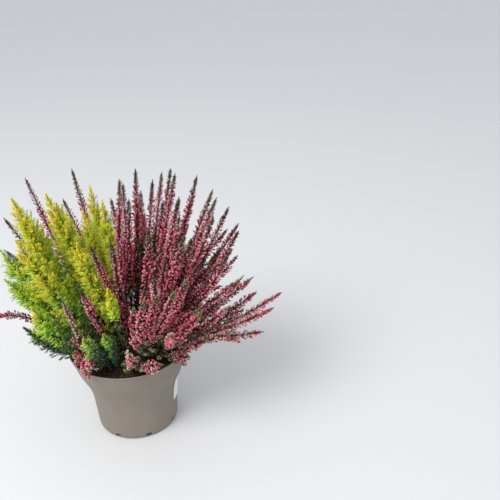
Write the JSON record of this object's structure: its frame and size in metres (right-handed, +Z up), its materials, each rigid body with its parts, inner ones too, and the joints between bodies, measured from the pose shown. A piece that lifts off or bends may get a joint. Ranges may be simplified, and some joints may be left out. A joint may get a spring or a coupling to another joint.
{
  "type": "potted heather",
  "caption": "Heather in a round plastic grow pot, pink budded spires beside feathery golden plumes, rising from dark peat.",
  "frame": {"origin": "middle of the pot's flat foot, on the surface it stands on", "axes": "+Z up the pot; +X towards the pink half of the planting, -X towards the golden half"},
  "size_m": [0.3186, 0.2184, 0.299],
  "materials": {
    "pot_plastic": "matte taupe moulded plastic",
    "peat": "damp dark crumbly peat",
    "label_paper": "blank satin sticker",
    "pink_buds": "closed satin buds, crimson pink, with green tips on brown stems",
    "golden_foliage": "fine scale leaves, yellow at the tips, lime below",
    "green_foliage": "fine scale leaves, shaded dark green"
  },
  "bodies": {
    "root": {"pot": "pot_plastic", "soil": "peat", "label": "label_paper", "pink_spray_01": "pink_buds", "pink_spray_02": "pink_buds", "pink_spray_03": "pink_buds", "pink_spray_04": "pink_buds", "pink_spray_05": "pink_buds", "pink_spray_06": "pink_buds", "pink_spray_07": "pink_buds", "pink_spray_08": "pink_buds", "pink_spray_09": "pink_buds", "pink_spray_10": "pink_buds", "pink_spray_11": "pink_buds", "pink_spray_12": "pink_buds", "pink_spray_13": "pink_buds", "pink_spray_14": "pink_buds", "pink_spray_15": "pink_buds", "pink_spray_16": "pink_buds", "pink_spray_17": "pink_buds", "pink_spray_18": "pink_buds", "pink_spray_19": "pink_buds", "pink_spray_20": "pink_buds", "pink_spray_21": "pink_buds", "pink_spray_22": "pink_buds", "pink_spray_23": "pink_buds", "pink_spray_24": "pink_buds", "pink_spray_25": "pink_buds", "pink_spray_26": "pink_buds", "pink_spray_27": "pink_buds", "pink_spray_28": "pink_buds", "pink_spray_29": "pink_buds", "pink_spray_30": "pink_buds", "pink_spray_31": "pink_buds", "pink_spray_32": "pink_buds", "pink_spray_33": "pink_buds", "pink_spray_34": "pink_buds", "pink_spray_35": "pink_buds", "pink_spray_36": "pink_buds", "pink_spray_37": "pink_buds", "pink_spray_38": "pink_buds", "golden_plume_01": "golden_foliage", "golden_plume_02": "golden_foliage", "golden_plume_03": "golden_foliage", "golden_plume_04": "golden_foliage", "golden_plume_05": "golden_foliage", "golden_plume_06": "golden_foliage", "golden_plume_07": "golden_foliage", "golden_plume_08": "golden_foliage", "golden_plume_09": "golden_foliage", "golden_plume_10": "golden_foliage", "golden_plume_11": "golden_foliage", "golden_plume_12": "golden_foliage", "golden_plume_13": "golden_foliage", "golden_plume_14": "golden_foliage", "green_shoot_01": "green_foliage", "green_shoot_02": "green_foliage", "green_shoot_03": "green_foliage", "green_shoot_04": "green_foliage", "green_shoot_05": "green_foliage"}
  },
  "joints": []
}
